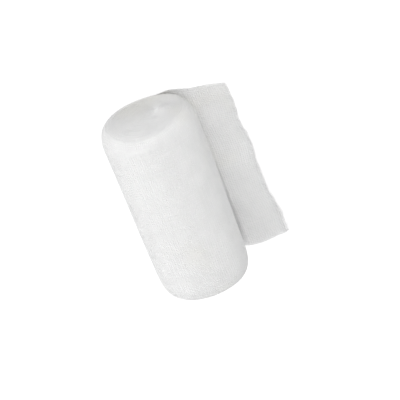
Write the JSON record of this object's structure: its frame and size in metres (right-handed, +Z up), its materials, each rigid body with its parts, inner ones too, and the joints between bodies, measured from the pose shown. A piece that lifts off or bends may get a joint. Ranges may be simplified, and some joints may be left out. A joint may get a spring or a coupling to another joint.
{
  "type": "gauze bandage roll",
  "caption": "Soft white gauze bandage wound into a roll, lying on its side, with a short loose end laid flat beside it.",
  "frame": {"origin": "middle of the flat spot on the underside that the roll rests on, halfway along the roll", "axes": "+X along the roll, towards the end with the deeper dish; the loose end lies towards -Y; +Z up"},
  "size_m": [0.1051, 0.0698, 0.0497],
  "materials": {
    "gauze": "open plain-woven cotton, matt, slightly fuzzy"
  },
  "bodies": {
    "root": {"gauze_roll": "gauze", "loose_end": "gauze"}
  },
  "joints": []
}
